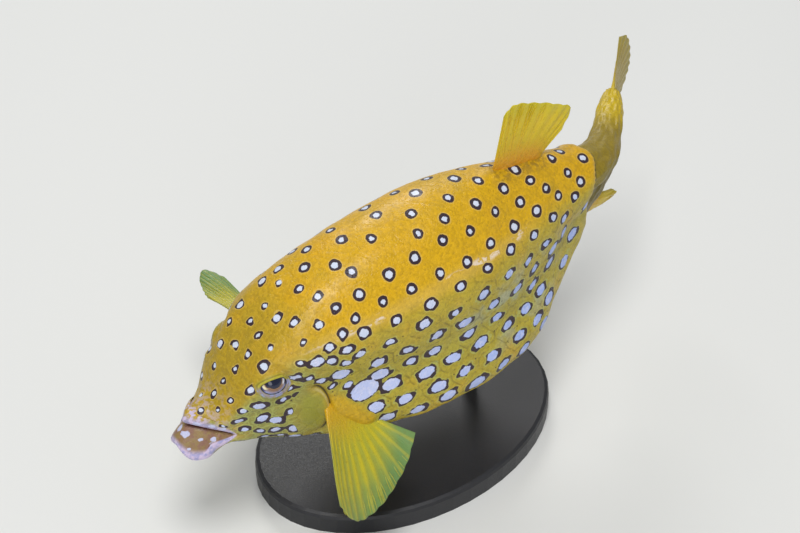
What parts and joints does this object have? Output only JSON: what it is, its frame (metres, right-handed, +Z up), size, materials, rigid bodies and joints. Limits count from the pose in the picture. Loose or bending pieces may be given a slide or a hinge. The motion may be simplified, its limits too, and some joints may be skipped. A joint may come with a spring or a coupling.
{
  "type": "life-size display model of a yellow boxfish",
  "caption": "Still life-size boxfish with a boxy spotted shell, thick lips, small fins and a bent tail, held over a flat oval base by two short rods.",
  "frame": {"origin": "centre of the flat underside of the display base, at floor level", "axes": "-X towards the snout, -Y towards the fish's left side, +Z up through the back"},
  "size_m": [0.2222, 0.108, 0.1275],
  "materials": {
    "skin": "satin painted skin, golden yellow with black-ringed white spots and a fine grain",
    "fin": "thin ribbed fin membrane, yellow, slightly translucent",
    "lip": "soft pinkish lip with fine pale dots",
    "eye": "wet glossy eye with a dark blue pupil",
    "base": "satin dark base",
    "rod": "brushed round rod"
  },
  "bodies": {
    "root": {"head": "skin", "trunk_front": "skin", "trunk_rear": "skin", "tail_peduncle": "skin", "gill_cover_left": "skin", "gill_cover_right": "skin", "upper_lip": "lip", "lower_lip": "lip", "eye_left": "eye", "eye_right": "eye", "pectoral_fin_left": "fin", "pectoral_fin_right": "fin", "dorsal_fin": "fin", "anal_fin": "fin", "caudal_fin": "fin", "stand_base": "base", "stand_rod_front": "rod", "stand_rod_rear": "rod"}
  },
  "joints": []
}
